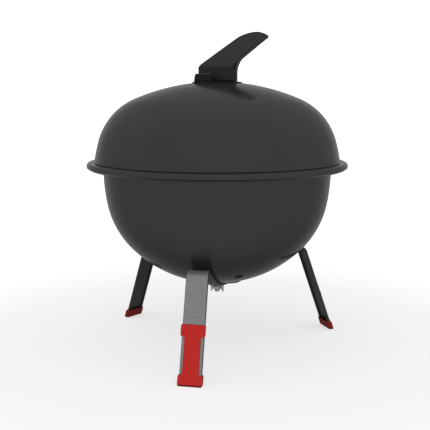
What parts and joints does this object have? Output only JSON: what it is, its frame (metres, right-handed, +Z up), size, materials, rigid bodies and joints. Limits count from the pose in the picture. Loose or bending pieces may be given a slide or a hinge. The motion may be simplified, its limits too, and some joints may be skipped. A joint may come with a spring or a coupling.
{
  "type": "kettle charcoal grill",
  "caption": "Portable kettle charcoal grill with a domed lid, lever handle, vent damper, wire grates and strip legs with moulded feet.",
  "frame": {"origin": "on the floor under the kettle's axis", "axes": "+Z up along the kettle's axis, front leg towards -Y, the lid handle's lever leans towards +X"},
  "size_m": [0.3779, 0.3806, 0.4555],
  "materials": {
    "black_enamel": "gloss",
    "black_steel": "satin",
    "black_nylon": "matte",
    "zinc_steel": "satin",
    "grey_leg": "satin",
    "red_boot": "satin",
    "chrome_wire": "bright",
    "steel_wire": "dull"
  },
  "bodies": {
    "root": {"bowl_base": "black_enamel", "bowl_side": "black_enamel", "bowl_wall": "black_enamel", "bowl_rim": "black_enamel", "grate_bracket_1": "black_steel", "grate_bracket_2": "black_steel", "grate_bracket_3": "black_steel", "center_bolt": "zinc_steel", "bolt_washer": "zinc_steel", "hub_washer": "zinc_steel", "front_leg": "grey_leg", "front_foot": "red_boot", "right_leg": "grey_leg", "right_foot": "red_boot", "left_leg": "grey_leg", "left_foot": "red_boot"},
    "lid": {"lid_crown": "black_enamel", "lid_shoulder": "black_enamel", "lid_wall": "black_enamel", "lid_handle": "black_nylon", "handle_screws": "zinc_steel", "handle_spacers": "zinc_steel", "handle_washers": "zinc_steel"},
    "damper": {"lid_damper": "black_steel"},
    "cooking_grate": {"cooking_grate_ring": "chrome_wire", "cooking_grate_braces": "chrome_wire", "cooking_grate_rods": "chrome_wire", "cooking_grate_right_grip": "chrome_wire", "cooking_grate_left_grip": "chrome_wire"},
    "charcoal_grate": {"charcoal_grate_ring": "steel_wire", "charcoal_grate_braces": "steel_wire", "charcoal_grate_rods": "steel_wire"},
    "wing_nut": {"wing_nut": "zinc_steel"}
  },
  "joints": [
    {"name": "lid_lift", "type": "slide", "parent": "root", "child": "lid", "axis": [0, 0, 1], "range_m": [0, 0.2]},
    {"name": "damper_turn", "type": "hinge", "parent": "lid", "child": "damper", "pos_m": [0, 0, 0.387], "axis": [0, 0, 1], "range_deg": [0, 60]},
    {"name": "cooking_grate_lift", "type": "slide", "parent": "root", "child": "cooking_grate", "axis": [0, 0, 1], "range_m": [0, 0.03]},
    {"name": "charcoal_grate_lift", "type": "slide", "parent": "root", "child": "charcoal_grate", "axis": [0, 0, 1], "range_m": [0, 0.08]},
    {"name": "wing_nut_turn", "type": "hinge", "parent": "root", "child": "wing_nut", "pos_m": [0, 0, 0.0857], "axis": [0, 0, 1], "continuous": true}
  ]
}
